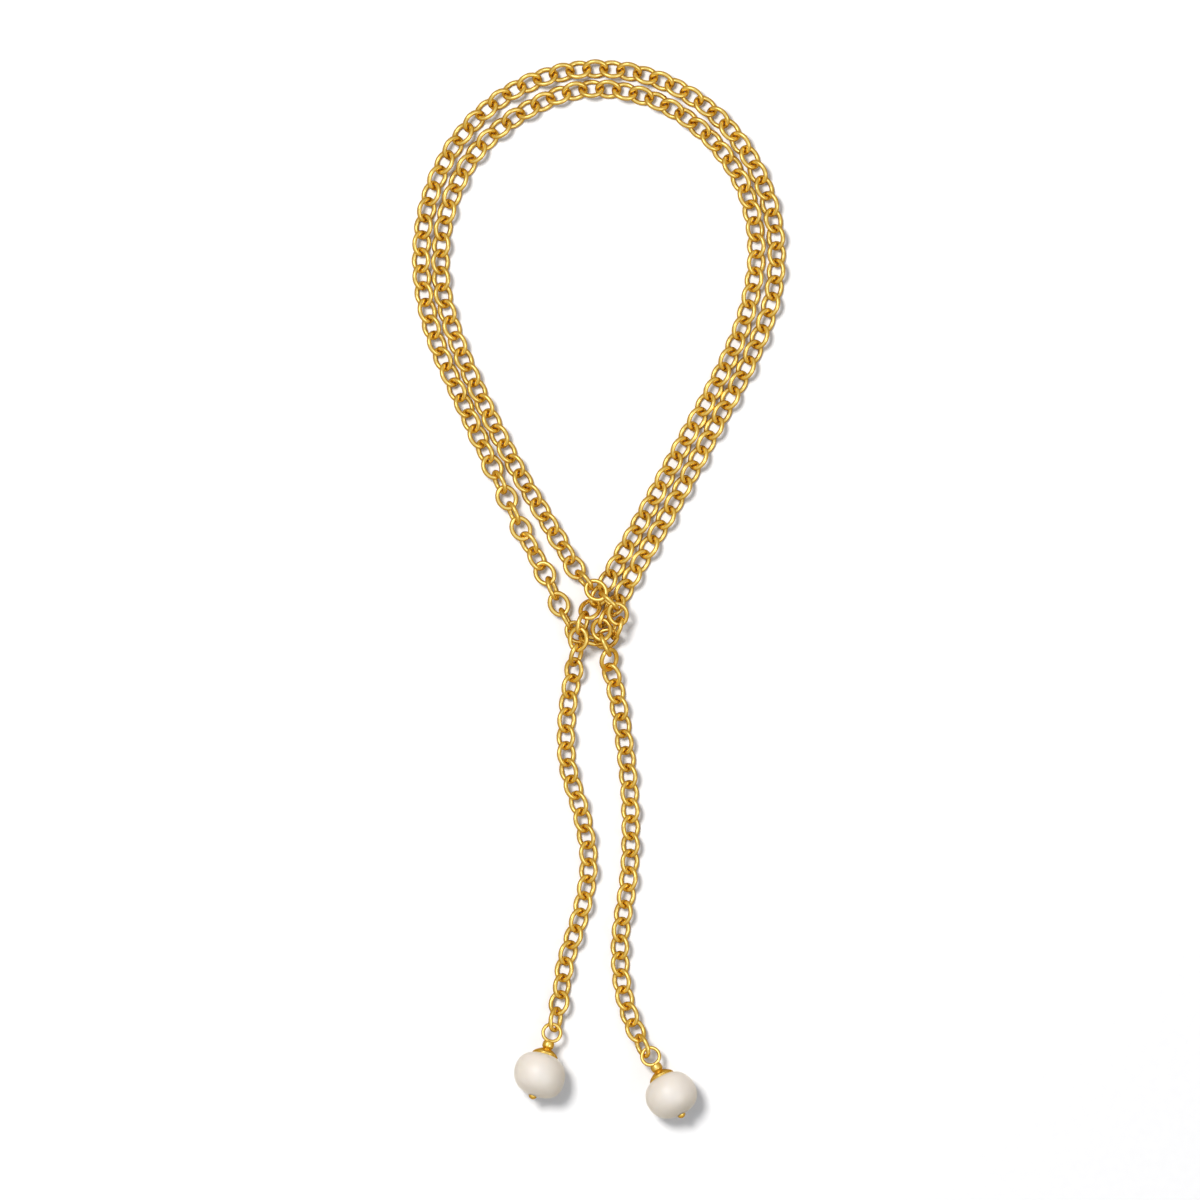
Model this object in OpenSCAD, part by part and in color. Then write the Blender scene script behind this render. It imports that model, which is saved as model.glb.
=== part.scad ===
/* [Chain] */
// Diameter of the round wire of a link
wire_d = 0.95; // [0.7:0.05:1]
// Length of a link over its ends
link_l = 6.45; // [6.3:0.05:7]
// Width of a link over its sides
link_w = 5.4; // [5:0.1:6]
// Distance from one link to the next
link_pitch = 4.22; // [4:0.02:4.3]
// Lean of the links, to the left and to the right in turn
link_lean = 37; // [34:1:42]

/* [Eye pin] */
// Outer diameter of the ring that the last link hooks
ring_d = 5.3; // [4.8:0.1:7]
// Diameter of the ring's wire
ring_wire_d = 0.9; // [0.6:0.1:1]
// Depth that the ring's wire sinks into the collar
ring_sink = 0.2; // [0.1:0.05:0.3]
// Distance from the end of the chain to the middle of the ring
hook_reach = 1.4; // [1.2:0.05:1.6]
// Diameter of the collar below the ring
collar_d = 2.9; // [2.2:0.1:3.6]
// Height of the collar
collar_h = 1.5; // [1:0.1:2]
// Diameter of the neck between the collar and the cap
neck_d = 2.3; // [1.8:0.1:2.6]
// Height of the neck
neck_h = 0.2; // [0.1:0.05:0.6]
// Diameter of the shaft through the cap and the pearl
shaft_d = 0.9; // [0.6:0.1:1.2]
// Diameter of the domed head that closes the shaft
head_d = 2.1; // [1.8:0.1:3]
// Height of the head
head_h = 0.8; // [0.6:0.1:1.2]

/* [Bead cap] */
// Diameter of the cap at its rim
cap_d = 6.5; // [5.5:0.1:7]
// Height of the cap above its rim
cap_h = 1.9; // [1.6:0.1:2.4]
// Thickness of the cap's wall
cap_wall = 0.4; // [0.3:0.05:0.6]

/* [Pearl] */
// Width of the pearl across the drilled hole
pearl_w = 13; // [11:0.2:15]
// Height of the pearl along the drilled hole
pearl_h = 11; // [10:0.2:12]
// Rounding of the pearl's shoulders, as a share of half its shorter side
pearl_round = 0.96; // [0.9:0.01:0.98]
// Diameter of the hole through the pearl
pearl_hole_d = 1.1; // [1:0.1:1.6]

/* [Lying] */
// Rise of a drop from its ring to its head
drop_tilt = 12; // [8:1:16]
// Turn of the left drop away from straight down
left_turn = -17; // [-30:1:0]
// Turn of the right drop away from straight down
right_turn = 28; // [10:1:40]
// Turn of the line from the left end of the chain to its ring
left_hook_turn = -20; // [-30:1:-10]
// Turn of the line from the right end of the chain to its ring
right_hook_turn = 60; // [50:1:80]
// Gap between pieces that seat on each other
seat_gap = 0.1; // [0.05:0.01:0.2]

/* [Hidden] */
gold = "goldenrod";
cream = "antiquewhite";
// Steps that each stretch between two route points is measured in
STEPS = 16;
// Links that are joined in one group
GROUP = 9;

// Radius of the round ends of a link's middle line, and the length of its
// straight sides
link_r = (link_w - wire_d) / 2;
link_side = link_l - link_w;
// Height of the middle of a link that lies on the surface
lying_z = link_r * sin(link_lean) + wire_d / 2;

// Places along the drop, measured from the middle of its ring
ring_r = (ring_d - ring_wire_d) / 2;
collar_at = ring_d / 2 - ring_sink;
neck_at = collar_at + collar_h;
cap_at = neck_at + neck_h + seat_gap;
cap_rim_r = cap_d / 2;
cap_r = (pow(cap_rim_r, 2) + pow(cap_h, 2)) / (2 * cap_h);
pearl_a = pearl_w / 2;
pearl_b = pearl_h / 2;
pearl_shoulder_r = pearl_round * min(pearl_a, pearl_b);
pearl_end_r = side_radius(pearl_a, pearl_b, pearl_shoulder_r);
// Depth of the pearl's end below the level where the cap's rim meets it
rim_sag = pearl_end_r - sqrt(pow(pearl_end_r, 2) - pow(cap_rim_r, 2));
pearl_at = cap_at + cap_h + seat_gap + pearl_b - rim_sag;
head_at = pearl_at + pearl_b + seat_gap;

// Heights at which the drops lie on the surface
pearl_z = oval_reach(pearl_a, pearl_b, pearl_shoulder_r, sin(drop_tilt), cos(drop_tilt));
ring_z = pearl_z - pearl_at * sin(drop_tilt);
hook_lift = ring_z - hook_reach * sin(drop_tilt) - lying_z;

// The route of the chain, from the left drop to the right drop. Each stretch
// has a name, the side to which its first link leans, 1 for left and -1 for
// right, and its points: x, y, lift above lying flat, and twist in degrees.
ROUTE = [
  ["left tail", 1, [
    [-11.8, -109, hook_lift, 20],
    [-10.1, -101.1, 0.4, 5],
    [-8.9, -92.6, 0, 0],
    [-5.1, -80.6, 0, 0],
    [-3, -68, 0, 0],
    [-4.9, -55.6, 0, 0],
    [-8.5, -43.1, 0, 0],
    [-8.5, -30.6, 0, 0],
    [-7.2, -21.9, 0.2, 5],
    [-6.4, -17.9, 1.2, 20]]],
  ["left pass of the knot", -1, [
    [-6, -14.1, 3.5, 15],
    [-5.4, -10.1, 4.2, 25],
    [-4, -6.4, 3.1, 18],
    [-1.6, -3, 0.9, 5],
    [0.6, 0.5, 0, 0]]],
  ["inner strand", 1, [
    [2.6, 4.3, 0, 0],
    [9.2, 15.9, 0, 0],
    [19.9, 35.6, 0, 0],
    [30.1, 54.3, 0, 0],
    [36.3, 69.2, 0, 0],
    [38.9, 85.5, 0, 0],
    [35.6, 101.2, 0, 0],
    [26.2, 114.2, 0, 0],
    [12.3, 123.1, 0, 0],
    [-4.2, 125.4, 0, 0],
    [-19.6, 119.6, 0, 0],
    [-31.9, 108.9, 0, 0],
    [-38.8, 93.9, 0, 0],
    [-40, 77.5, 0, 0],
    [-37.2, 65.6, 0, 0],
    [-30.9, 50.1, 0, 0],
    [-21.3, 30.8, 0, 0],
    [-12.5, 15.9, 0.1, 5],
    [-8.3, 8.7, 0.5, 15]]],
  ["fold round the tails", 1, [
    [-5.6, 4.1, 1.1, 33],
    [-3, 1.6, 2.8, 35],
    [0.2, -1, 4, 45],
    [3.1, -3.4, 4.9, 35],
    [4.9, -7.1, 3.7, 35],
    [3, -11.1, 1.4, 17],
    [-1.4, -12.9, 0.7, 37],
    [-5.1, -11.4, 0.9, 45],
    [-7.8, -8.7, 0.9, 45]]],
  ["outer strand", -1, [
    [-9.7, -5.2, 0.9, 36],
    [-11.3, -1.3, 0.9, 36],
    [-12.9, 2.5, 0.9, 30],
    [-14.2, 4.6, 0.5, 17],
    [-16.2, 8.4, 0.3, -3],
    [-18.1, 12.2, 0.5, -25],
    [-20.3, 16, 0.8, -35],
    [-24.3, 25, 0.9, -30],
    [-28.2, 33.2, 0.3, -10],
    [-33.7, 45.2, 0, 0],
    [-42.2, 65.2, 0, 0],
    [-45, 82, 0, 0],
    [-42.6, 98.9, 0, 0],
    [-34.7, 114, 0, 0],
    [-21.7, 125.2, 0, 0],
    [-5.4, 130.3, 0, 0],
    [11.7, 128.7, 0, 0],
    [26.8, 120.6, 0, 0],
    [37.7, 107.4, 0, 0],
    [43.3, 91.5, 0, 0],
    [43.1, 74.6, 0, 0],
    [37.5, 58.6, 0, 0],
    [29.6, 43.4, 0, 0],
    [17.6, 20.9, 0, 0],
    [6.8, 2.1, 0, 0]]],
  ["right pass of the knot", 1, [
    [4.7, -1.9, 0.1, -3],
    [2, -5.6, 0.2, -25],
    [0.1, -7.6, 2.6, -40],
    [0.2, -11.4, 4.3, -50]]],
  ["right tail", -1, [
    [1.9, -15.3, 3.5, 5],
    [2.2, -19.4, 1.2, 0],
    [3.5, -24, 0.2, 0],
    [5.7, -36.8, 0, 0],
    [7.3, -53.6, 0, 0],
    [7, -70.6, 0, 0],
    [4.7, -87.6, 0, 0],
    [5.5, -100.1, 0, 0],
    [7.9, -108.1, 0.6, 5],
    [11.2, -115.5, hook_lift, 45]]]
];

// Radius of the flatter arcs of an oval that is drawn with four arcs
function side_radius(a, b, end_r) =
  (pow(a - end_r, 2) + b * b - end_r * end_r) / (2 * (b - end_r));

// How far an oval reaches in a direction with the parts u and v along its
// short and its long axis, with a the long and b the short half size
function oval_reach(a, b, end_r, u, v) =
  let (side_r = side_radius(a, b, end_r))
  abs(v) * (side_r - b) > abs(u) * (a - end_r)
    ? (a - end_r) * abs(v) + end_r * norm([u, v])
    : side_r * norm([u, v]) - (side_r - b) * abs(u);

function unit(v) = v / norm(v);
function total(list, n) = n == 0 ? 0 : list[n - 1] + total(list, n - 1);
function place(p) = [p.x, p.y, p.z];

// All points of the route in one list, at their height
POINTS = [for (stretch = ROUTE) for (p = stretch[2]) [p[0], p[1], p[2] + lying_z, p[3]]];
LAST = len(POINTS) - 1;
COUNTS = [for (stretch = ROUTE) len(stretch[2])];

// The route's points with one more at each end, for the curve through them
function route_point(i) =
  i < 0 ? 2 * POINTS[0] - POINTS[1]
  : i > LAST ? 2 * POINTS[LAST] - POINTS[LAST - 1]
  : POINTS[i];

// Point t, from 0 to 1, of the smooth curve between route points i and i + 1
function mix(t, t0, t1, p, q) = ((t1 - t) * p + (t - t0) * q) / (t1 - t0);
function knot_step(p, q) = sqrt(norm(place(q) - place(p)));
function curve(i, t) =
  let (p0 = route_point(i - 1), p1 = route_point(i))
  let (p2 = route_point(i + 1), p3 = route_point(i + 2))
  let (t1 = knot_step(p0, p1), t2 = t1 + knot_step(p1, p2), t3 = t2 + knot_step(p2, p3))
  let (s = t1 + t * (t2 - t1))
  let (a1 = mix(s, 0, t1, p0, p1), a2 = mix(s, t1, t2, p1, p2), a3 = mix(s, t2, t3, p2, p3))
  mix(s, t1, t2, mix(s, 0, t2, a1, a2), mix(s, t1, t3, a2, a3));

// Fine points along stretch k, and the length of the curve up to each of them
function fine_points(k) =
  let (first = total(COUNTS, k), end = min(first + COUNTS[k], LAST))
  concat([for (i = [first : end - 1]) for (j = [0 : STEPS - 1]) curve(i, j / STEPS)],
         [route_point(end)]);
function lengths(points) = [
  for (i = 0, s = 0; i < len(points);
       i = i + 1, s = i < len(points) ? s + norm(place(points[i]) - place(points[i - 1])) : s) s];

// Places where two links of stretch k meet, at equal steps, each with its twist
function meetings(k) =
  let (points = fine_points(k), along = lengths(points))
  let (whole = along[len(along) - 1], n = max(1, round(whole / link_pitch)))
  [for (j = [0 : n]) [for (c = [0 : 3])
    lookup(j * whole / n, [for (i = [0 : len(points) - 1]) [along[i], points[i][c]]])]];

// Each link of a stretch: its middle, its direction and its roll
function stretch_links(k) =
  let (meet = meetings(k), side = ROUTE[k][1])
  [for (j = [0 : len(meet) - 2])
    let (p = place(meet[j]), q = place(meet[j + 1]))
    let (lean = side * (j % 2 == 0 ? link_lean : -link_lean))
    [(p + q) / 2, unit(q - p), meet[j][3] + lean]];
LINKS = [for (k = [0 : len(ROUTE) - 1]) each stretch_links(k)];

// Frame of a link, as columns: along, across and normal
function link_frame(link) =
  let (along = link[1], side = unit(cross([0, 0, 1], along)), up = cross(along, side))
  let (across = side * cos(link[2]) + up * sin(link[2]))
  [along, across, cross(along, across)];

// Direction of a drop from its ring to its head, as an angle on the surface
left_heading = 270 + left_turn;
right_heading = 270 + right_turn;
function heading(angle) = [cos(angle) * cos(drop_tilt), sin(angle) * cos(drop_tilt), sin(drop_tilt)];
left_ring = place(POINTS[0]) + hook_reach * heading(270 + left_hook_turn);
right_ring = place(POINTS[LAST]) + hook_reach * heading(270 + right_hook_turn);

// Corners of the whole necklace on the surface, and the middle between them
function link_reach(link, d) =
  let (f = link_frame(link))
  link[0] * d + link_side / 2 * abs(f[0] * d) + link_r * norm([f[0] * d, f[1] * d]) + wire_d / 2;
function pearl_reach(ring, angle, d) =
  let (n = heading(angle), u = n * d)
  (ring + pearl_at * n) * d
    + oval_reach(pearl_a, pearl_b, pearl_shoulder_r, u, sqrt(max(0, 1 - u * u)));
function reach(d) = max(concat([for (link = LINKS) link_reach(link, d)],
  [pearl_reach(left_ring, left_heading, d), pearl_reach(right_ring, right_heading, d)]));
middle = [(reach([1, 0, 0]) - reach([-1, 0, 0])) / 2, (reach([0, 1, 0]) - reach([0, -1, 0])) / 2,
          -reach([0, 0, -1])];

// Half of an oval with its middle at the origin, long across and short up
module oval_half(a, b, end_r) {
  side_r = side_radius(a, b, end_r);
  touch = (a - end_r) * side_r / (side_r - end_r);
  intersection() {
    translate([0, -2 * b]) square([a + b, 4 * b]);
    union() {
      translate([a - end_r, 0]) circle(end_r, $fn = 64);
      intersection() {
        translate([0, b - side_r]) circle(side_r, $fn = 128);
        translate([0, side_r - b]) circle(side_r, $fn = 128);
        translate([-touch, -2 * b]) square([2 * touch, 4 * b]);
      }
    }
  }
}

// One link: round wire along two half rounds and two straight sides
module link_end(from) {
  rotate([0, 0, from]) rotate_extrude(angle = 180, $fn = 64)
    translate([link_r, 0]) circle(d = wire_d, $fn = 16);
}
module link() {
  union() {
    translate([link_side / 2, 0]) link_end(-90);
    translate([-link_side / 2, 0]) link_end(90);
    for (y = [-link_r, link_r])
      translate([-link_side / 2, y]) rotate([0, 90, 0])
        linear_extrude(link_side) circle(d = wire_d, $fn = 16);
  }
}
module place_link(item) {
  f = link_frame(item);
  multmatrix([
    [f[0].x, f[1].x, f[2].x, item[0].x],
    [f[0].y, f[1].y, f[2].y, item[0].y],
    [f[0].z, f[1].z, f[2].z, item[0].z],
    [0, 0, 0, 1]]) link();
}
module chain() {
  color(gold) translate(-middle)
    for (g = [0 : ceil(len(LINKS) / GROUP) - 1])
      union() {
        for (i = [g * GROUP : min(len(LINKS), (g + 1) * GROUP) - 1]) place_link(LINKS[i]);
      }
}

// A drop's own frame has the middle of its ring at the origin and its axis along X
module place_drop(ring, angle) {
  translate(ring - middle) rotate([0, -drop_tilt, angle]) children();
}
module turned() {
  rotate([0, 90, 0]) rotate_extrude($fn = 96) children();
}

// Ring, collar, neck, shaft and head are soldered into one piece
module eye_pin() {
  head_r = (pow(head_d / 2, 2) + pow(head_h, 2)) / (2 * head_h);
  bevel = collar_h / 3;
  color(gold) union() {
    rotate_extrude($fn = 96) translate([ring_r, 0]) circle(d = ring_wire_d, $fn = 32);
    turned() polygon([
      [0, collar_at], [collar_d / 2 - bevel, collar_at], [collar_d / 2, collar_at + bevel],
      [collar_d / 2, neck_at - bevel], [collar_d / 2 - bevel, neck_at],
      [neck_d / 2, neck_at], [neck_d / 2, neck_at + neck_h],
      [shaft_d / 2, neck_at + neck_h], [shaft_d / 2, head_at + head_h / 4],
      [0, head_at + head_h / 4]]);
    turned() intersection() {
      translate([0, head_at + head_h - head_r]) circle(head_r, $fn = 64);
      translate([0, head_at]) square([head_d, head_h]);
    }
  }
}
module bead_cap() {
  color(gold) turned() difference() {
    intersection() {
      translate([0, cap_at + cap_r]) circle(cap_r, $fn = 128);
      translate([(shaft_d + seat_gap) / 2, cap_at]) square([cap_d, cap_h]);
    }
    translate([0, cap_at + cap_r]) circle(cap_r - cap_wall, $fn = 128);
    translate([0, pearl_at - pearl_b + pearl_end_r])
      circle(pearl_end_r + seat_gap, $fn = 128);
  }
}
module pearl() {
  color(cream) turned() difference() {
    translate([0, pearl_at]) oval_half(pearl_a, pearl_b, pearl_shoulder_r);
    translate([-1, pearl_at - pearl_b - 1]) square([1 + pearl_hole_d / 2, pearl_h + 2]);
  }
}
module eye_pin_left() { place_drop(left_ring, left_heading) eye_pin(); }
module bead_cap_left() { place_drop(left_ring, left_heading) bead_cap(); }
module pearl_left() { place_drop(left_ring, left_heading) pearl(); }
module eye_pin_right() { place_drop(right_ring, right_heading) eye_pin(); }
module bead_cap_right() { place_drop(right_ring, right_heading) bead_cap(); }
module pearl_right() { place_drop(right_ring, right_heading) pearl(); }

chain();
eye_pin_left();
bead_cap_left();
pearl_left();
eye_pin_right();
bead_cap_right();
pearl_right();
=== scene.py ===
"""Looks of a lariat necklace: gold cable chain and two pearl drops on a pale surface."""
import math

import bpy
import numpy as np
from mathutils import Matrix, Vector


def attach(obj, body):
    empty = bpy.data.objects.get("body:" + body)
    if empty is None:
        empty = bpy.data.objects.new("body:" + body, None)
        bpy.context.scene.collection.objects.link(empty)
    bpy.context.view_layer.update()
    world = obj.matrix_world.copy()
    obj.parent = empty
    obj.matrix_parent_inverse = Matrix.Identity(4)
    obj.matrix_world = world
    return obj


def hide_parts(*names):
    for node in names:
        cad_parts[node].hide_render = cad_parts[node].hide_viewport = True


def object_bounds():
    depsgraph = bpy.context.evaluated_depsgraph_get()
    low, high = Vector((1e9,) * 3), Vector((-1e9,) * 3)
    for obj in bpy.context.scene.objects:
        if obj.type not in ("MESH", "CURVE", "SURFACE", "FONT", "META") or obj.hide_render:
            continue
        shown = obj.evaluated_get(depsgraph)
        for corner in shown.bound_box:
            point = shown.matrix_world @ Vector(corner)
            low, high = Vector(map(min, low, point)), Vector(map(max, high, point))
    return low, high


MM = 0.001

# Sizes in millimetres, links and rings to the middle of their wire. They are the solids' own,
# apart from the link's wire, which is drawn a little thicker than in the solids, where the links
# need room between them, and the radius of the link's ends, which makes an oval of it.
WIRE_D = 1.14
LINK_A = 2.75
LINK_B = 2.225
LINK_END_R = 1.9
RING_R = 2.2
RING_WIRE_D = 0.9
COLLAR_AT = 2.45
COLLAR_H = 1.5
COLLAR_D = 2.9
NECK_D = 2.3
NECK_H = 0.2
SHAFT_D = 0.9
SEAT_GAP = 0.1
CAP_D = 6.5
CAP_H = 1.9
CAP_WALL = 0.4
PEARL_W = 13.0
PEARL_H = 11.0
PEARL_SHOULDER_R = 0.96 * PEARL_H / 2
PEARL_HOLE_D = 1.1
HEAD_D = 2.1
HEAD_H = 0.8
DROP_TILT = 12.0
DROPS = {"left": 270 - 17, "right": 270 + 28}

# Forms that only the scene has. The collar is a barrel: the lower this power, the fuller it is.
BARREL_POWER = 0.6
# The stem starts this far above the collar, inside the ring's wire, and its tip is this long
STEM_START = 0.35
STEM_TIP = 0.05
# The flat side of the head is this much narrower all round than its dome
HEAD_EDGE = 0.12
# The cap's outside between its hole and its lip: distance below its top, radius, rounding
CAP_SLOPE = ((0.05, NECK_D / 2 + 0.1, 0.2), (0.5, 2.05, 0.7), (1.0, 2.8, 0.7))
# Radius of the cap's lip, how much of a half turn its arc makes, and how far inside the rim
# the slope ends where the lip starts
CAP_LIP = 0.2
CAP_LIP_SWEEP = 1.1
CAP_LIP_IN = 0.06
# The cap's inside ends this angle short of its rim, in radians
CAP_INSIDE_SHORT = 0.1
# How far the pearls' far halves lean aside. The lean starts this share of half the height
# before the middle and grows with this power. It fades in over this distance from the hole,
# so the hole stays on its pin.
SKEW = {"left": 0.5, "right": 0.15}
SKEW_FROM = 0.3
SKEW_POWER = 1.5
SKEW_FADE = 3.2
# How full the pearls' shoulders are, as a share of the radius. They are fullest at this angle
# from the hole's line and fade out to both sides of it, in degrees.
SHOULDER = {"left": 0.03, "right": 0.015}
SHOULDER_AT = 52
SHOULDER_FADE = 19
# Unevenness of the pearls round their belly, as shares of the radius: an even dent, then waves
# that go twice and three times round
BELLY_DENT = 0.004
BELLY_TWICE = 0.004
BELLY_THRICE = 0.003
# The pearl's hole narrows over this length, from both ends, to this share of its radius
HOLE_RIM = 0.12
HOLE_INNER = 0.9
# Seeds of the links' tones and the pearls' unevenness
TONE_SEED = 7
PEARL_SEED = {"left": 4, "right": 5}

# How finely the visible pieces are drawn
LINK_STEPS = 56
WIRE_STEPS = 16
CHAIN_PARTS = 3
RING_STEPS = 96
RING_WIRE_STEPS = 24
ROUND_STEPS = 128
PROFILE_STEPS = 24
DOME_STEPS = 16
LIP_STEPS = 12
CORNER_STEPS = 8
PEARL_END_STEPS = 40
PEARL_SIDE_STEPS = 48
# A corner's rounding takes at most this share of the lines next to it
CORNER_SHARE = 0.49

# The photograph's framing: width and middle of what it shows on the floor, and the camera's
# height, in metres. The sensor's width is in millimetres, as Blender has it.
VIEW_WIDTH = 300 * MM
VIEW_CENTRE = (0.3 * MM, -2.77 * MM)
CAMERA_HEIGHT = 3.0
SENSOR = 36.0
# Half the width of the floor, in metres
FLOOR_HALF = 2.5

# Colours. A ramp holds places from 0 to 1 with the colour at each. GOLD_EDGE tints what gold
# mirrors at a flat angle. PAINTED_FLOOR_REFLECTION is a painted reflection: the floor as glossy
# rays see it, darker and warmer than it is, so the metal and the pearls mirror a painted darker
# floor.
GOLD_RAMP = [(0.3, (0.9, 0.675, 0.2, 1)), (0.55, (0.94, 0.715, 0.23, 1)),
             (0.75, (0.97, 0.75, 0.27, 1))]
GOLD_EDGE = (1.0, 0.72, 0.32, 1)
LINK_TONES = [(0.0, (0.9, 0.88, 0.84, 1)), (1.0, (1.0, 1.0, 1.0, 1))]
PEARL_RAMP = [(0.3, (0.735, 0.69, 0.625, 1)), (0.5, (0.795, 0.74, 0.685, 1)),
              (0.7, (0.835, 0.775, 0.725, 1))]
FLOOR_RAMP = [(0.3, (0.925, 0.925, 0.93, 1)), (0.7, (0.945, 0.945, 0.95, 1))]
PAINTED_FLOOR_REFLECTION = (0.44, 0.32, 0.12, 1)
SKY_PLAIN = [(0.0, (0.12, 0.12, 0.125, 1)), (0.3, (0.18, 0.18, 0.19, 1)),
             (0.7, (0.44, 0.45, 0.47, 1)), (0.93, (0.745, 0.77, 0.8, 1))]
SKY_MIRRORED = [(0.0, (0.27, 0.185, 0.055, 1)), (0.3, (0.34, 0.25, 0.095, 1)),
                (0.7, (0.43, 0.375, 0.25, 1)), (0.93, (0.54, 0.545, 0.54, 1))]
# Strength of the sky as it lights, and as it is mirrored
SKY_STRENGTH = (0.7, 1.85)

# Lowest and highest roughness of the patches in each material
CHAIN_ROUGHNESS = (0.13, 0.19)
DROP_ROUGHNESS = (0.14, 0.2)
PEARL_ROUGHNESS = (0.5, 0.62)

# Lamps: place in metres, width, power and tint
KEY = ((-0.5, 0.46, 1.55), 0.5, 24.5, (1.0, 0.985, 0.965))
PANEL = ((-0.55, 0.55, 1.48), 0.9, 4.0, (0.92, 0.97, 1.0))
FILL = ((1.1, -0.5, 1.4), 0.9, 2.9, (0.96, 0.98, 1.0))


def side_radius(a, b, end_r):
    """Radius of the flatter arcs of an oval that is drawn with four arcs."""
    return ((a - end_r) ** 2 + b * b - end_r * end_r) / (2 * (b - end_r))


def arc(cx, cy, r, start, sweep, steps):
    """Points and outward directions along an arc without its last point, angles in radians."""
    angles = [start + sweep * i / steps for i in range(steps)]
    return [(cx + r * math.cos(t), cy + r * math.sin(t), math.cos(t), math.sin(t))
            for t in angles]


def oval_path(a, b, end_r, steps):
    """Closed middle line of a link, long along x, with outward directions."""
    side_r = side_radius(a, b, end_r)
    side_at = side_r - b
    half = math.atan2(side_at, a - end_r)
    around = 4 * half * end_r + 4 * (math.pi / 2 - half) * side_r
    end_steps = max(4, round(steps * 2 * half * end_r / around))
    side_steps = steps // 2 - end_steps
    turn = math.pi - 2 * half
    return (arc(a - end_r, 0, end_r, -half, 2 * half, end_steps)
            + arc(0, -side_at, side_r, half, turn, side_steps)
            + arc(end_r - a, 0, end_r, math.pi - half, 2 * half, end_steps)
            + arc(0, side_at, side_r, math.pi + half, turn, side_steps))


def tube(path, radius, around):
    """Round wire along a closed flat path: vertices in mm and quads."""
    verts = []
    for x, y, ox, oy in path:
        for k in range(around):
            t = 2 * math.pi * k / around
            reach = radius * math.cos(t)
            verts.append((x + ox * reach, y + oy * reach, radius * math.sin(t)))
    faces = []
    n = len(path)
    for i in range(n):
        j = (i + 1) % n
        for k in range(around):
            m = (k + 1) % around
            faces.append((i * around + k, j * around + k, j * around + m, i * around + m))
    return np.array(verts), faces


def turned(profile, steps):
    """Surface of revolution round the x axis. The profile holds (x, r) in mm, closed at r = 0."""
    verts = []
    rings = []
    for x, r in profile:
        if r < 1e-6:
            rings.append([len(verts)])
            verts.append((x, 0.0, 0.0))
            continue
        rings.append(list(range(len(verts), len(verts) + steps)))
        for k in range(steps):
            t = 2 * math.pi * k / steps
            verts.append((x, r * math.cos(t), r * math.sin(t)))
    faces = []
    for a, b in zip(rings, rings[1:]):
        for k in range(steps):
            m = (k + 1) % steps
            corners = [a[k % len(a)], a[m % len(a)], b[m % len(b)], b[k % len(b)]]
            face = tuple(dict.fromkeys(corners))
            if len(face) > 2:
                faces.append(face)
    return np.array(verts), faces


def joined(parts):
    """Several meshes as one."""
    verts = []
    faces = []
    for part_verts, part_faces in parts:
        base = len(verts)
        verts.extend(part_verts)
        faces.extend(tuple(base + i for i in face) for face in part_faces)
    return np.array(verts), faces


def add_piece(name, verts_mm, faces, material, tone=None):
    """A smooth mesh object in metres, with a tone for each vertex if one is given."""
    mesh = bpy.data.meshes.new(name)
    mesh.from_pydata([tuple(v) for v in np.asarray(verts_mm) * MM], [], faces)
    mesh.validate()
    for polygon in mesh.polygons:
        polygon.use_smooth = True
    if tone is not None:
        layer = mesh.attributes.new("tone", "FLOAT", "POINT")
        layer.data.foreach_set("value", tone)
    mesh.materials.append(material)
    mesh.update()
    piece = bpy.data.objects.new(name, mesh)
    bpy.context.collection.objects.link(piece)
    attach(piece, "root")
    return piece


def triangles_of(obj):
    """Points of a frame mesh in mm, and the corners of its triangles."""
    mesh = obj.data
    mesh.calc_loop_triangles()
    points = np.empty(len(mesh.vertices) * 3)
    mesh.vertices.foreach_get("co", points)
    corners = np.empty(len(mesh.loop_triangles) * 3, dtype=np.int64)
    mesh.loop_triangles.foreach_get("vertices", corners)
    world = np.array(obj.matrix_world)
    points = points.reshape(-1, 3) @ world[:3, :3].T + world[:3, 3]
    return points / MM, corners.reshape(-1, 3)


def islands(points, corners):
    """Splits a mesh into its loose solids and gives each one's triangles."""
    keys = np.round(points * 1000).astype(np.int64)
    merged = np.unique(keys, axis=0, return_inverse=True)[1].reshape(-1)
    label = np.arange(merged.max() + 1)
    ends = merged[corners]
    while True:
        low = label[ends].min(axis=1)
        before = label.copy()
        for column in range(3):
            np.minimum.at(label, ends[:, column], low)
        label = label[label]
        if np.array_equal(before, label):
            break
    found = label[ends[:, 0]]
    return [points[corners[found == value]] for value in np.unique(found)]


def surface_frame(tri):
    """Middle and principal directions of a solid's surface, the longest first."""
    a, b, c = tri[:, 0], tri[:, 1], tri[:, 2]
    area = np.linalg.norm(np.cross(b - a, c - a), axis=1) / 2
    total = area.sum()
    middle = ((a + b + c) / 3 * area[:, None]).sum(axis=0) / total
    spread = np.zeros((3, 3))
    whole = (a + b + c) - 3 * middle
    for corner in (a - middle, b - middle, c - middle, whole):
        spread += (corner * (area / 12)[:, None]).T @ corner
    directions = np.linalg.eigh(spread)[1][:, ::-1].T
    directions[2] = np.cross(directions[0], directions[1])
    return middle, directions


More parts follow.
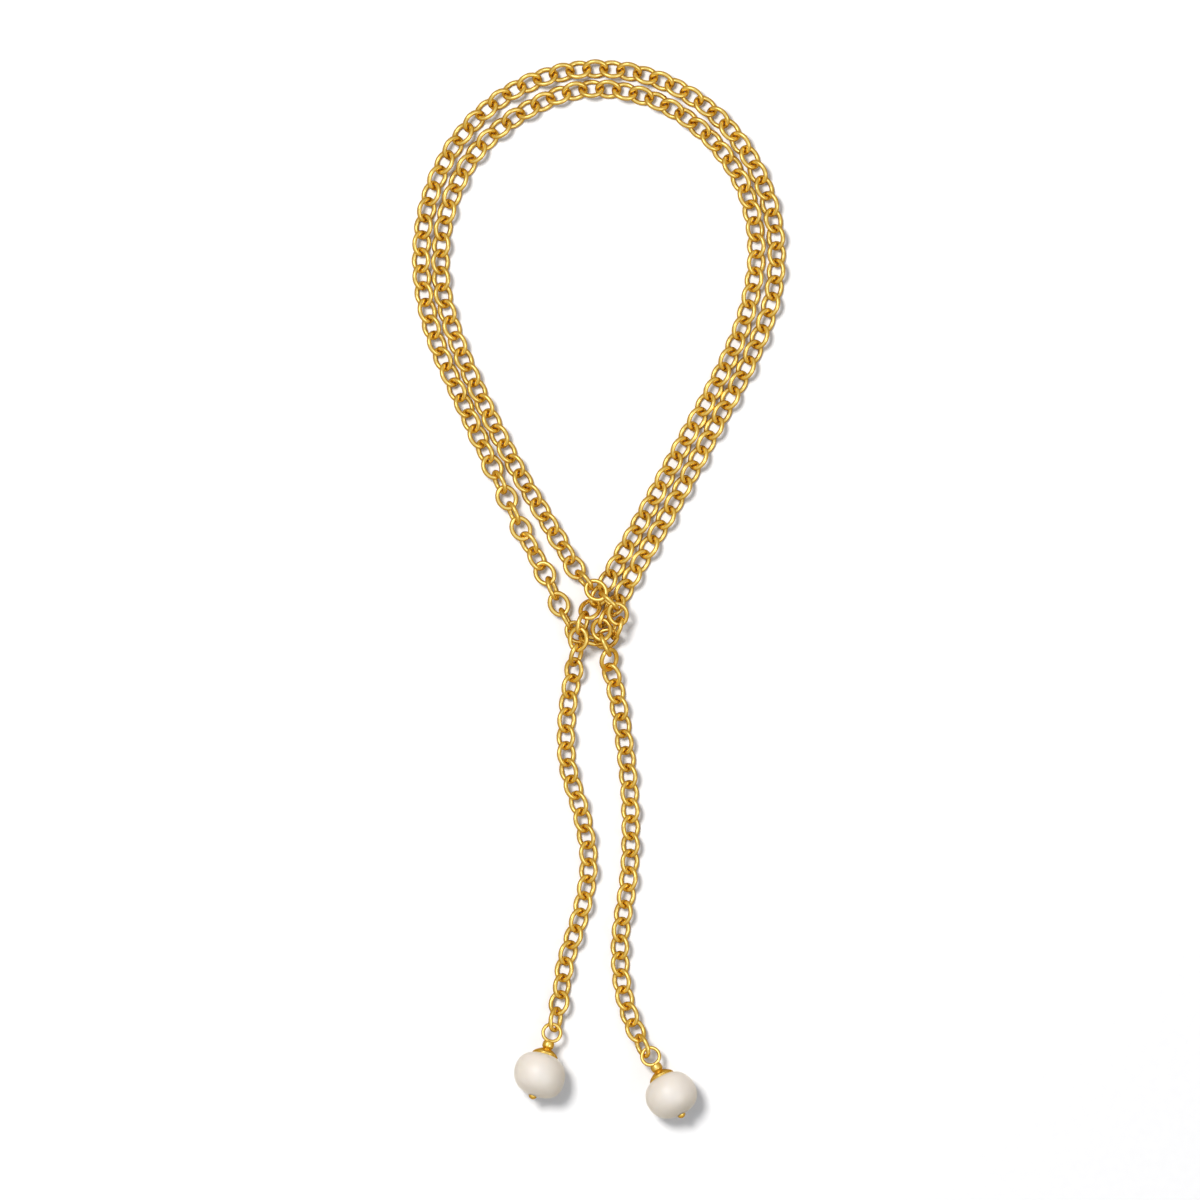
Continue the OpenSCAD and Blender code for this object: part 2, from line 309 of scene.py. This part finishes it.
def make_chain(node, material):
    """Finely drawn links in the places of the frame's links, in a few pieces."""
    points, corners = triangles_of(node)
    frames = [surface_frame(tri) for tri in islands(points, corners)]
    frames.sort(key=lambda frame: (round(frame[0][1], 2), frame[0][0]))
    link_verts, link_faces = tube(oval_path(LINK_A, LINK_B, LINK_END_R, LINK_STEPS),
                                  WIRE_D / 2, WIRE_STEPS)
    rng = np.random.default_rng(TONE_SEED)
    tones = rng.random(len(frames))
    size = math.ceil(len(frames) / CHAIN_PARTS)
    for part in range(CHAIN_PARTS):
        meshes = []
        tone = []
        for i in range(part * size, min(len(frames), (part + 1) * size)):
            middle, directions = frames[i]
            meshes.append((link_verts @ directions + middle, link_faces))
            tone.extend([tones[i]] * len(link_verts))
        verts, faces = joined(meshes)
        piece = add_piece("chain_links_%d" % (part + 1), verts, faces, material, tone)
        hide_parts("chain")


def rounded(corners, steps):
    """Profile with rounded corners: each corner is (x, r, rounding), with none at the ends."""
    out = []
    for i, (x, r, radius) in enumerate(corners):
        if radius == 0:
            out.append((x, r))
            continue
        here = np.array([x, r])
        back = np.array(corners[i - 1][:2]) - here
        ahead = np.array(corners[i + 1][:2]) - here
        back_l = np.linalg.norm(back)
        ahead_l = np.linalg.norm(ahead)
        reach = min(radius, back_l * CORNER_SHARE, ahead_l * CORNER_SHARE)
        start = here + back / back_l * reach
        end = here + ahead / ahead_l * reach
        for k in range(steps + 1):
            t = k / steps
            point = (1 - t) ** 2 * start + 2 * t * (1 - t) * here + t * t * end
            out.append((float(point[0]), float(point[1])))
    return out


def drop_places():
    """Distances along a drop from the middle of its ring, as the source works them out."""
    neck_at = COLLAR_AT + COLLAR_H
    cap_at = neck_at + NECK_H + SEAT_GAP
    rim_r = CAP_D / 2
    cap_r = (rim_r ** 2 + CAP_H ** 2) / (2 * CAP_H)
    end_r = side_radius(PEARL_W / 2, PEARL_H / 2, PEARL_SHOULDER_R)
    sag = end_r - math.sqrt(end_r ** 2 - rim_r ** 2)
    pearl_at = cap_at + CAP_H + SEAT_GAP + PEARL_H / 2 - sag
    return {"neck": neck_at, "cap": cap_at, "cap_r": cap_r, "end_r": end_r,
            "pearl": pearl_at, "head": pearl_at + PEARL_H / 2 + SEAT_GAP}


def eye_pin_mesh(at):
    """Ring, barrel-shaped collar, neck, shaft and domed head."""
    angles = (2 * math.pi * k / RING_STEPS for k in range(RING_STEPS))
    ring_path = [(RING_R * math.cos(t), RING_R * math.sin(t), math.cos(t), math.sin(t))
                 for t in angles]
    ring = tube(ring_path, RING_WIRE_D / 2, RING_WIRE_STEPS)
    waist = NECK_D / 2
    barrel = []
    for k in range(PROFILE_STEPS + 1):
        t = math.pi * k / PROFILE_STEPS
        swell = (COLLAR_D / 2 - waist) * max(0.0, math.sin(t)) ** BARREL_POWER
        barrel.append((COLLAR_AT + COLLAR_H / 2 * (1 - math.cos(t)), waist + swell))
    start = COLLAR_AT - STEM_START
    foot = at["neck"] + NECK_H
    stem = turned([(start, 0), (start + STEM_TIP, RING_WIRE_D / 2)] + barrel + [
        (foot, waist), (foot, SHAFT_D / 2), (at["head"], SHAFT_D / 2), (at["head"], 0)],
        ROUND_STEPS)
    head_r = ((HEAD_D / 2) ** 2 + HEAD_H ** 2) / (2 * HEAD_H)
    half = math.asin(HEAD_D / 2 / head_r)
    dome = [(at["head"] + HEAD_H - head_r + head_r * math.cos(t), head_r * math.sin(t))
            for t in (half * (1 - k / DOME_STEPS) for k in range(DOME_STEPS + 1))]
    dome[-1] = (dome[-1][0], 0)
    head = turned([(at["head"], 0), (at["head"], HEAD_D / 2 - HEAD_EDGE)] + dome, ROUND_STEPS)
    return joined([ring, stem, head])


def cap_mesh(at):
    """Thin bell with a rounded lip, open towards the pearl."""
    centre = at["cap"] + at["cap_r"]
    hole = (SHAFT_D + SEAT_GAP) / 2
    half = math.asin(CAP_D / 2 / at["cap_r"])
    rim_x = at["cap"] + CAP_H
    slope = [(at["cap"] + x, r, radius) for x, r, radius in CAP_SLOPE]
    outer = rounded([(at["cap"], hole, 0)] + slope
                    + [(rim_x - 2 * CAP_LIP, CAP_D / 2 - CAP_LIP_IN, 0)], CORNER_STEPS)
    lip_x = rim_x - CAP_LIP
    lip_r = CAP_D / 2 - CAP_LIP
    lip_arc = []
    for k in range(LIP_STEPS + 1):
        t = math.pi * CAP_LIP_SWEEP * (k / LIP_STEPS - 0.5)
        lip_arc.append((lip_x + CAP_LIP * math.sin(t), lip_r + CAP_LIP * math.cos(t)))
    inner_r = at["cap_r"] - CAP_WALL
    inner = []
    for k in range(PROFILE_STEPS + 1):
        t = (half - CAP_INSIDE_SHORT) * (1 - k / PROFILE_STEPS)
        r = max(hole, inner_r * math.sin(t))
        inner.append((centre - math.sqrt(inner_r ** 2 - r * r), r))
    profile = outer + lip_arc + inner + [outer[0]]
    return turned(profile, ROUND_STEPS)


def pearl_outline(end_r, hole):
    """Profile of the drilled oval as (x, r), over its side and back through the hole."""
    a = PEARL_W / 2
    side_r = PEARL_SHOULDER_R
    end_at = end_r - PEARL_H / 2
    half = math.atan2(end_at, a - side_r)
    start = math.asin(hole / end_r)
    turn = math.pi / 2 - half
    outline = []
    for k in range(PEARL_END_STEPS):
        t = start + (turn - start) * k / PEARL_END_STEPS
        outline.append((end_at - end_r * math.cos(t), end_r * math.sin(t)))
    for k in range(PEARL_SIDE_STEPS):
        t = -half + 2 * half * k / PEARL_SIDE_STEPS
        outline.append((side_r * math.sin(t), a - side_r + side_r * math.cos(t)))
    for k in range(PEARL_END_STEPS + 1):
        t = turn + (start - turn) * k / PEARL_END_STEPS
        outline.append((end_r * math.cos(t) - end_at, end_r * math.sin(t)))
    inner_r = hole * HOLE_INNER
    inner = [(outline[-1][0] - HOLE_RIM, inner_r), (outline[0][0] + HOLE_RIM, inner_r)]
    return outline + inner + [outline[0]]


def pearl_mesh(at, seed, skew, shoulder):
    """Drilled oval pearl, uneven as a grown one: full shoulders, a far half that leans aside."""
    middle = at["pearl"]
    hole = PEARL_HOLE_D / 2
    outline = pearl_outline(at["end_r"], hole)
    verts, faces = turned([(middle + x, r) for x, r in outline], ROUND_STEPS)
    rng = np.random.default_rng(seed)
    phase = rng.random(2) * 2 * math.pi
    angle = np.arctan2(verts[:, 2], verts[:, 1])
    along = (verts[:, 0] - middle) / (PEARL_H / 2)
    belly = np.clip(1 - along ** 2, 0, 1)
    dent = 1 - belly * (BELLY_DENT + BELLY_TWICE * np.cos(2 * angle + phase[0])
                        + BELLY_THRICE * np.cos(3 * angle + phase[1] + along))
    off_axis = np.hypot(verts[:, 1], verts[:, 2])
    lean = np.degrees(np.arctan2(off_axis, np.abs(verts[:, 0] - middle)))
    full = 1 + shoulder * np.exp(-((lean - SHOULDER_AT) / SHOULDER_FADE) ** 2)
    verts[:, 1] *= dent * full
    verts[:, 2] *= dent * full
    verts[:, 0] = middle + (verts[:, 0] - middle) * full
    away = np.clip((np.hypot(verts[:, 1], verts[:, 2]) - hole) / SKEW_FADE, 0, 1)
    verts[:, 1] += skew * np.clip(along + SKEW_FROM, 0, None) ** SKEW_POWER * away
    return verts, faces


def placed(verts, ring, angle):
    """Moves a drop's points from its own frame to the necklace's."""
    turn = math.radians(angle)
    tilt = math.radians(DROP_TILT)
    along = np.array([math.cos(turn) * math.cos(tilt), math.sin(turn) * math.cos(tilt),
                      math.sin(tilt)])
    across = np.array([-math.sin(turn), math.cos(turn), 0.0])
    up = np.cross(along, across)
    return verts @ np.array([along, across, up]) + ring


def make_drops(nodes, gold, nacre):
    """Eye pin, cap and pearl of both drops, placed by the frame's pearls."""
    at = drop_places()
    for side, angle in DROPS.items():
        points, corners = triangles_of(nodes["pearl_" + side])
        centre = surface_frame(points[corners])[0]
        ring = centre - placed(np.array([[at["pearl"], 0, 0]]), np.zeros(3), angle)[0]
        pearl = pearl_mesh(at, PEARL_SEED[side], SKEW[side], SHOULDER[side])
        for kind, mesh, material, slot in (
                ("eye_pin", eye_pin_mesh(at), gold, "gold"),
                ("bead_cap", cap_mesh(at), gold, "gold"),
                ("pearl", pearl, nacre, "pearl")):
            verts, faces = mesh
            piece = add_piece("%s_%s_fine" % (kind, side), placed(verts, ring, angle),
                              faces, material)
            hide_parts("%s_%s" % (kind, side))


def new_material(name):
    """A material with its node tree and its shader."""
    material = bpy.data.materials.new(name)
    material.use_nodes = True
    tree = material.node_tree
    return material, tree, tree.nodes["Principled BSDF"]


def noise(tree, scale, detail, rough, seed=0.0):
    """Cloudy noise fixed to the object, its scale per metre."""
    coords = tree.nodes.new("ShaderNodeTexCoord")
    node = tree.nodes.new("ShaderNodeTexNoise")
    node.noise_dimensions = "4D"
    node.inputs["Scale"].default_value = scale
    node.inputs["Detail"].default_value = detail
    node.inputs["Roughness"].default_value = rough
    node.inputs["W"].default_value = seed
    tree.links.new(coords.outputs["Object"], node.inputs["Vector"])
    return node.outputs["Fac"]


def ramp(tree, source, stops):
    """Colours along a value, from a list of places and colours."""
    node = tree.nodes.new("ShaderNodeValToRGB")
    ends = node.color_ramp.elements
    ends[0].position, ends[0].color = stops[0]
    ends[1].position, ends[1].color = stops[-1]
    for position, color in stops[1:-1]:
        ends.new(position).color = color
    tree.links.new(source, node.inputs["Fac"])
    return node.outputs["Color"]


def to_range(tree, source, low, high):
    """A value from 0 to 1 drawn out to a range."""
    node = tree.nodes.new("ShaderNodeMapRange")
    node.inputs["To Min"].default_value = low
    node.inputs["To Max"].default_value = high
    tree.links.new(source, node.inputs["Value"])
    return node.outputs["Result"]


def colour_mix(tree):
    """A node that mixes two colours, A and B."""
    node = tree.nodes.new("ShaderNodeMix")
    node.data_type = "RGBA"
    return node


def bump(tree, bsdf, sources):
    """Chains several height sources: (socket, strength, distance in metres)."""
    last = None
    for socket, strength, distance in sources:
        node = tree.nodes.new("ShaderNodeBump")
        node.inputs["Strength"].default_value = strength
        node.inputs["Distance"].default_value = distance
        tree.links.new(socket, node.inputs["Height"])
        if last is not None:
            tree.links.new(last.outputs["Normal"], node.inputs["Normal"])
        last = node
    tree.links.new(last.outputs["Normal"], bsdf.inputs["Normal"])


def gold_material(name, roughness, with_tone):
    """Soft polished gold plate: warm, a little uneven, with fine tumbling marks.

    With tone, each link is a little darker or lighter than the next.
    """
    material, tree, bsdf = new_material(name)
    bsdf.inputs["Metallic"].default_value = 1.0
    bsdf.inputs["Specular Tint"].default_value = GOLD_EDGE
    bsdf.inputs["Coat Weight"].default_value = 0.45
    bsdf.inputs["Coat Roughness"].default_value = 0.08
    base = ramp(tree, noise(tree, scale=260.0, detail=4.0, rough=0.55), GOLD_RAMP)
    if with_tone:
        tone = tree.nodes.new("ShaderNodeAttribute")
        tone.attribute_name = "tone"
        mix = colour_mix(tree)
        mix.blend_type = "MULTIPLY"
        mix.inputs["Factor"].default_value = 1.0
        tree.links.new(base, mix.inputs["A"])
        tree.links.new(ramp(tree, tone.outputs["Fac"], LINK_TONES), mix.inputs["B"])
        base = mix.outputs["Result"]
    tree.links.new(base, bsdf.inputs["Base Color"])
    patches = noise(tree, scale=900.0, detail=3.0, rough=0.6, seed=2.0)
    tree.links.new(to_range(tree, patches, *roughness), bsdf.inputs["Roughness"])
    marks = noise(tree, scale=5200.0, detail=2.0, rough=0.5, seed=5.0)
    waves = noise(tree, scale=700.0, detail=2.0, rough=0.5, seed=8.0)
    bump(tree, bsdf, [(waves, 0.08, 0.02 * MM), (marks, 0.08, 0.004 * MM)])
    return material


def pearl_material():
    """Cream nacre: a cloudy body with light under it, a satin coat and faint growth waves."""
    material, tree, bsdf = new_material("nacre")
    cloud = noise(tree, scale=95.0, detail=3.0, rough=0.5, seed=1.0)
    tree.links.new(ramp(tree, cloud, PEARL_RAMP), bsdf.inputs["Base Color"])
    bsdf.inputs["Subsurface Weight"].default_value = 0.25
    bsdf.inputs["Subsurface Radius"].default_value = (0.9, 0.75, 0.55)
    bsdf.inputs["Subsurface Scale"].default_value = 1.2 * MM
    patches = noise(tree, scale=180.0, detail=3.0, rough=0.5, seed=4.0)
    tree.links.new(to_range(tree, patches, *PEARL_ROUGHNESS), bsdf.inputs["Roughness"])
    bsdf.inputs["IOR"].default_value = 1.6
    bsdf.inputs["Coat Weight"].default_value = 1.0
    bsdf.inputs["Coat Roughness"].default_value = 0.42
    bsdf.inputs["Coat IOR"].default_value = 2.0
    bsdf.inputs["Sheen Weight"].default_value = 0.7
    bsdf.inputs["Sheen Roughness"].default_value = 0.35
    waves = noise(tree, scale=320.0, detail=3.0, rough=0.5, seed=6.0)
    grains = noise(tree, scale=2600.0, detail=2.0, rough=0.5, seed=9.0)
    bump(tree, bsdf, [(waves, 0.25, 0.08 * MM), (grains, 0.08, 0.01 * MM)])
    return material


def surface_material():
    """Pale matte table with a very faint grain. Glossy rays see a painted darker, warmer floor.
    """
    material, tree, bsdf = new_material("pale_surface")
    grain = noise(tree, scale=400.0, detail=3.0, rough=0.5, seed=3.0)
    bsdf.inputs["Roughness"].default_value = 0.9
    bsdf.inputs["Specular IOR Level"].default_value = 0.1
    # Painted reflection: glossy rays get a darker, warmer floor colour than the lit floor has
    path = tree.nodes.new("ShaderNodeLightPath")
    mix = colour_mix(tree)
    mix.inputs["B"].default_value = PAINTED_FLOOR_REFLECTION
    tree.links.new(path.outputs["Is Glossy Ray"], mix.inputs["Factor"])
    tree.links.new(ramp(tree, grain, FLOOR_RAMP), mix.inputs["A"])
    tree.links.new(mix.outputs["Result"], bsdf.inputs["Base Color"])
    bump(tree, bsdf, [(grain, 0.05, 0.02 * MM)])
    return material


def add_floor(low):
    """The surface that the necklace lies on."""
    mesh = bpy.data.meshes.new("surface")
    corners = [(-FLOOR_HALF, -FLOOR_HALF, low), (FLOOR_HALF, -FLOOR_HALF, low),
               (FLOOR_HALF, FLOOR_HALF, low), (-FLOOR_HALF, FLOOR_HALF, low)]
    mesh.from_pydata(corners, [], [(0, 1, 2, 3)])
    mesh.materials.append(surface_material())
    floor = bpy.data.objects.new("surface", mesh)
    bpy.context.collection.objects.link(floor)


def add_area(name, place, size, power, tint):
    """A round lamp that looks at the middle of the necklace."""
    light = bpy.data.lights.new(name, "AREA")
    light.shape = "DISK"
    light.size = size
    light.energy = power
    light.color = tint
    lamp = bpy.data.objects.new(name, light)
    lamp.location = place
    towards = Vector((0, 0, 0)) - Vector(place)
    lamp.rotation_euler = towards.to_track_quat("-Z", "Y").to_euler()
    bpy.context.collection.objects.link(lamp)
    return lamp


def add_light():
    """A key for light and shadow, a panel for the highlights, a weak fill, and the sky.

    Polished metal mirrors a brighter and warmer sky than the one that lights the surface.
    """
    add_area("key", *KEY).visible_glossy = False
    add_area("panel", *PANEL).visible_diffuse = False
    add_area("fill", *FILL)
    world = bpy.data.worlds.new("studio")
    world.use_nodes = True
    tree = world.node_tree
    back = tree.nodes["Background"]
    coords = tree.nodes.new("ShaderNodeTexCoord")
    parts = tree.nodes.new("ShaderNodeSeparateXYZ")
    tree.links.new(coords.outputs["Generated"], parts.inputs["Vector"])
    path = tree.nodes.new("ShaderNodeLightPath")
    glossy = path.outputs["Is Glossy Ray"]
    mix = colour_mix(tree)
    tree.links.new(glossy, mix.inputs["Factor"])
    tree.links.new(ramp(tree, parts.outputs["Z"], SKY_PLAIN), mix.inputs["A"])
    tree.links.new(ramp(tree, parts.outputs["Z"], SKY_MIRRORED), mix.inputs["B"])
    tree.links.new(mix.outputs["Result"], back.inputs["Color"])
    tree.links.new(to_range(tree, glossy, *SKY_STRENGTH), back.inputs["Strength"])
    bpy.context.scene.world = world


def add_camera():
    """A long lens that looks straight down."""
    data = bpy.data.cameras.new("camera")
    data.type = "PERSP"
    data.sensor_width = SENSOR
    data.sensor_fit = "HORIZONTAL"
    data.lens = SENSOR * CAMERA_HEIGHT / VIEW_WIDTH
    data.clip_end = 20.0
    camera = bpy.data.objects.new("camera", data)
    camera.location = (VIEW_CENTRE[0], VIEW_CENTRE[1], CAMERA_HEIGHT)
    camera.rotation_euler = (0.0, 0.0, 0.0)
    bpy.context.collection.objects.link(camera)
    bpy.context.scene.camera = camera


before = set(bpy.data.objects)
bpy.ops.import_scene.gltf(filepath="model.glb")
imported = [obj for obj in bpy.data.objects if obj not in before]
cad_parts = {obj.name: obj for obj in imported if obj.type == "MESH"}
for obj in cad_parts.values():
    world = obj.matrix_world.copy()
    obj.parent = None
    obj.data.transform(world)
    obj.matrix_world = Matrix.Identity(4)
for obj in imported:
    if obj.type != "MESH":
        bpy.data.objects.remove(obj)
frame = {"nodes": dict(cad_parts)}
cad_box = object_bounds()
nodes = frame["nodes"]
chain_gold = gold_material("chain_gold", CHAIN_ROUGHNESS, True)
drop_gold = gold_material("drop_gold", DROP_ROUGHNESS, False)
make_chain(nodes["chain"], chain_gold)
make_drops(nodes, drop_gold, pearl_material())
add_floor(cad_box[0][2])
add_light()
add_camera()
bpy.context.scene.view_settings.view_transform = "Standard"
